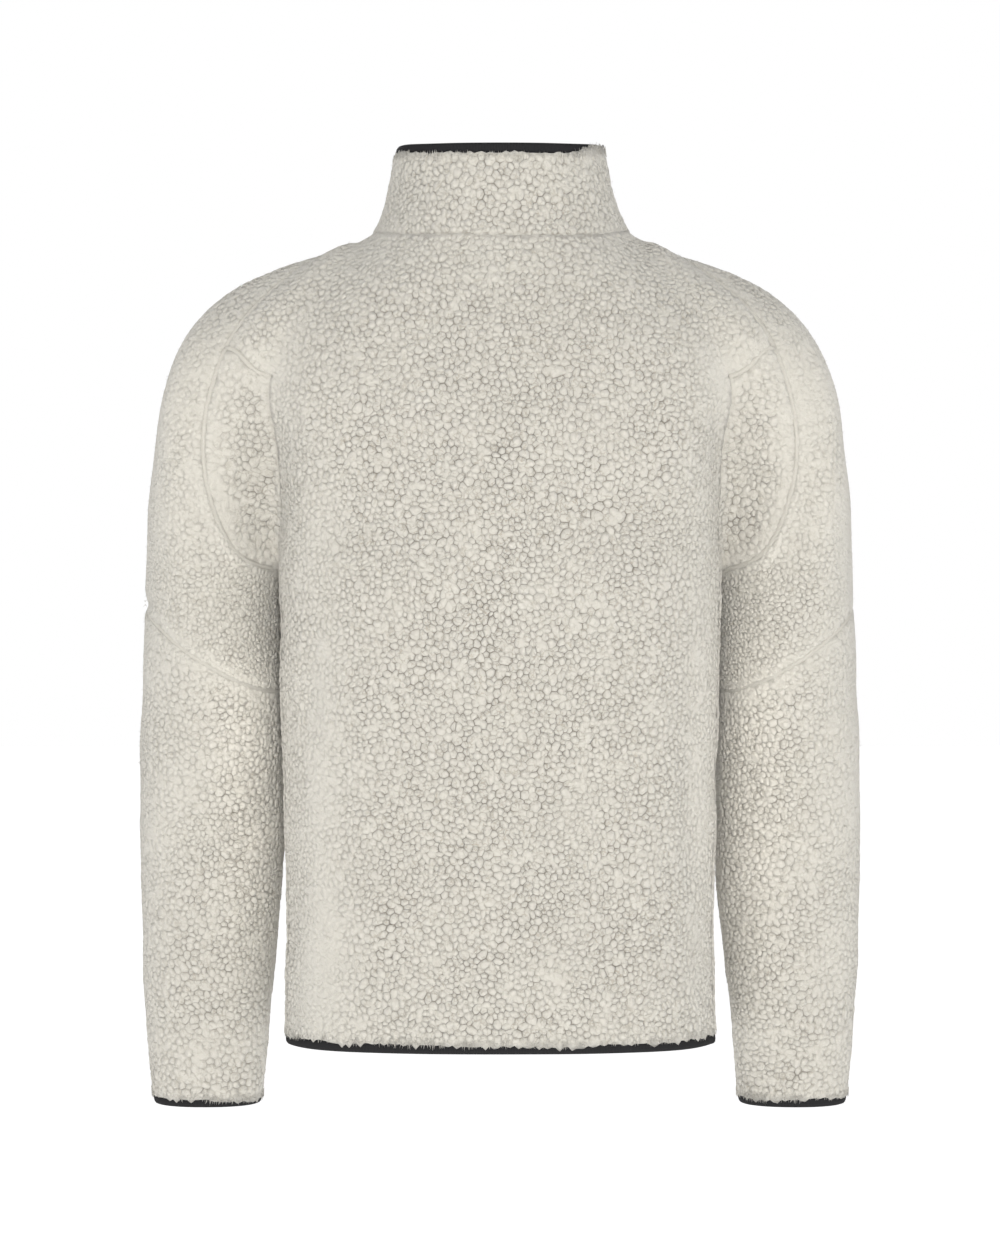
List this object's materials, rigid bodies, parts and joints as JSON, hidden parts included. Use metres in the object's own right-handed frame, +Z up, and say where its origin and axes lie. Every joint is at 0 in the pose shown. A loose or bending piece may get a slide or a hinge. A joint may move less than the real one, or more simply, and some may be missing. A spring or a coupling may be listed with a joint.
{
  "type": "sherpa jacket",
  "caption": "Hip-length pile fleece jacket with a zipped stand collar, long sleeves and dark knit bindings on the collar, cuffs and hem, filled out as if worn.",
  "frame": {"origin": "middle of the line between the two points where shoulder and collar meet, where the wearer's shoulders hold the jacket up", "axes": "+Z up, +Y towards the wearer's front, +X towards the wearer's right"},
  "size_m": [0.618, 0.2745, 0.8187],
  "materials": {
    "pile_fleece": "curly off-white pile in small clumps on a knitted ground",
    "knit_binding": "near-black fine-ribbed knit tape, folded over the edge",
    "zip_tape": "near-black woven zip tape with moulded teeth",
    "zip_metal": "dark lacquered metal"
  },
  "bodies": {
    "jacket": {"back": "pile_fleece", "side_panel_left": "pile_fleece", "side_panel_right": "pile_fleece", "front_left": "pile_fleece", "front_right": "pile_fleece", "sleeve_upper_left": "pile_fleece", "sleeve_upper_right": "pile_fleece", "sleeve_lower_left": "pile_fleece", "sleeve_lower_right": "pile_fleece", "collar": "pile_fleece", "collar_binding": "knit_binding", "hem_binding": "knit_binding", "cuff_binding_left": "knit_binding", "cuff_binding_right": "knit_binding", "zip_tape_left": "zip_tape", "zip_tape_right": "zip_tape", "zip_slider": "zip_metal"},
    "zip_pull_tab": {"zip_pull": "zip_metal"}
  },
  "joints": [
    {"name": "zip_pull_swing", "type": "hinge", "parent": "jacket", "child": "zip_pull_tab", "pos_m": [0, 0.08134, 0.00085], "axis": [1, 0, 0], "range_deg": [0, 150]}
  ]
}
